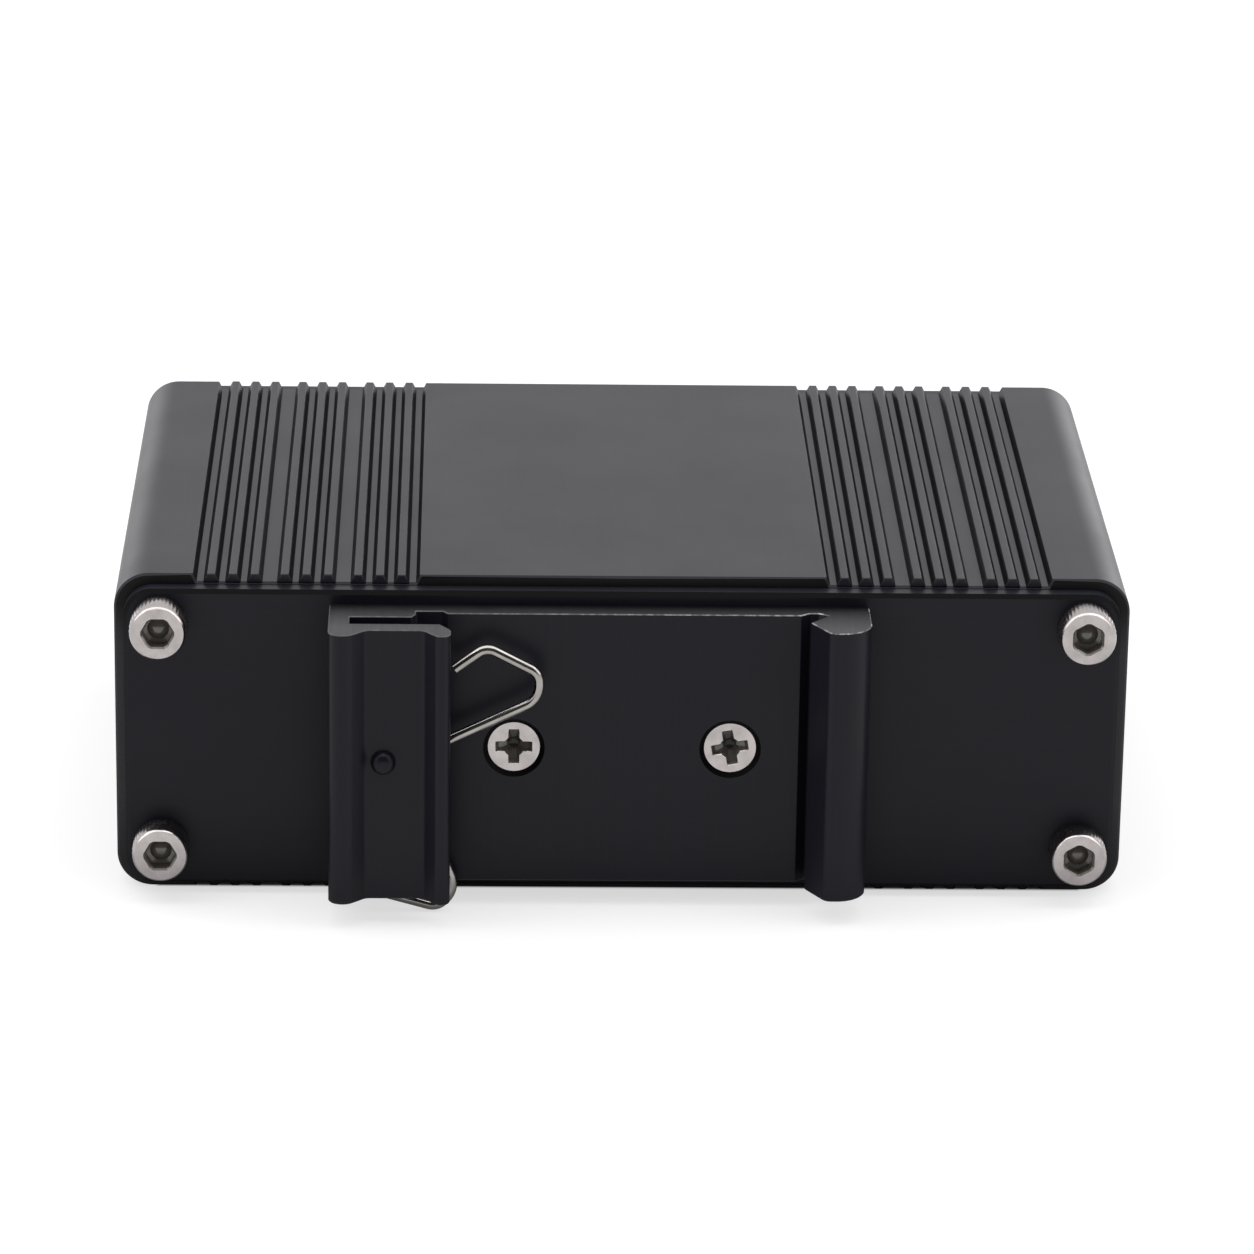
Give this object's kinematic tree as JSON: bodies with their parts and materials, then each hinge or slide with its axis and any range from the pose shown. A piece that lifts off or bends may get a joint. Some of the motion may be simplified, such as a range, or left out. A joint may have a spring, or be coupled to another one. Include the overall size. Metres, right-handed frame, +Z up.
{
  "type": "poe splitter",
  "caption": "Slim ribbed metal box with flat end plates: a slotted rail clip with a wire spring on one end, network sockets and a power header on the other.",
  "frame": {"origin": "middle of the tube's underside, on the plane that the box stands on", "axes": "+X across the box, +Y from the rail clip towards the ports, +Z up"},
  "size_m": [0.094, 0.0745, 0.031],
  "materials": {
    "anodised_tube": "matte",
    "anodised_plate": "satin",
    "anodised_clip": "satin",
    "bright_screw": "satin",
    "blackened_pin": "satin",
    "spring_wire": "polished",
    "board": "satin",
    "jack_insert": "satin",
    "jack_shield": "satin",
    "contact": "polished",
    "header": "satin",
    "tinned_pin": "satin",
    "lamp_lens": "gloss",
    "package": "matte",
    "capacitor_can": "gloss",
    "ferrite": "matte",
    "bobbin": "satin",
    "winding_tape": "satin",
    "disc_coat": "satin",
    "chip_body": "matte"
  },
  "bodies": {
    "box": {"body_extrusion": "anodised_tube", "clip_side_plate": "anodised_plate", "port_side_plate": "anodised_plate", "clip_side_screws": "bright_screw", "port_side_screws": "bright_screw", "din_clip": "anodised_clip", "clip_screws": "bright_screw", "spring_pin": "blackened_pin", "circuit_board": "board", "poe_in_housing": "jack_insert", "poe_in_shield": "jack_shield", "poe_in_contacts": "contact", "data_out_housing": "jack_insert", "data_out_shield": "jack_shield", "data_out_contacts": "contact", "dc_out_header": "header", "dc_out_pins": "tinned_pin", "status_leds": "lamp_lens", "status_led_legs": "tinned_pin", "data_magnetics": "package", "magnetics_leads": "tinned_pin", "bridge_rectifiers": "package", "surge_suppressor": "package", "input_capacitor": "capacitor_can", "device_controller": "package", "switching_transistors": "package", "transformer_core": "ferrite", "transformer_bobbin": "bobbin", "transformer_winding": "winding_tape", "output_rectifier": "package", "output_inductor": "ferrite", "output_capacitors": "capacitor_can", "feedback_coupler": "package", "safety_capacitor": "disc_coat", "small_chips": "chip_body"},
    "spring": {"wire_spring": "spring_wire"}
  },
  "joints": [
    {"name": "spring_rock", "type": "hinge", "parent": "box", "child": "spring", "pos_m": [-0.022, -0.03577, 0.01595], "axis": [0, -1, 0], "range_deg": [-9, 52]}
  ]
}
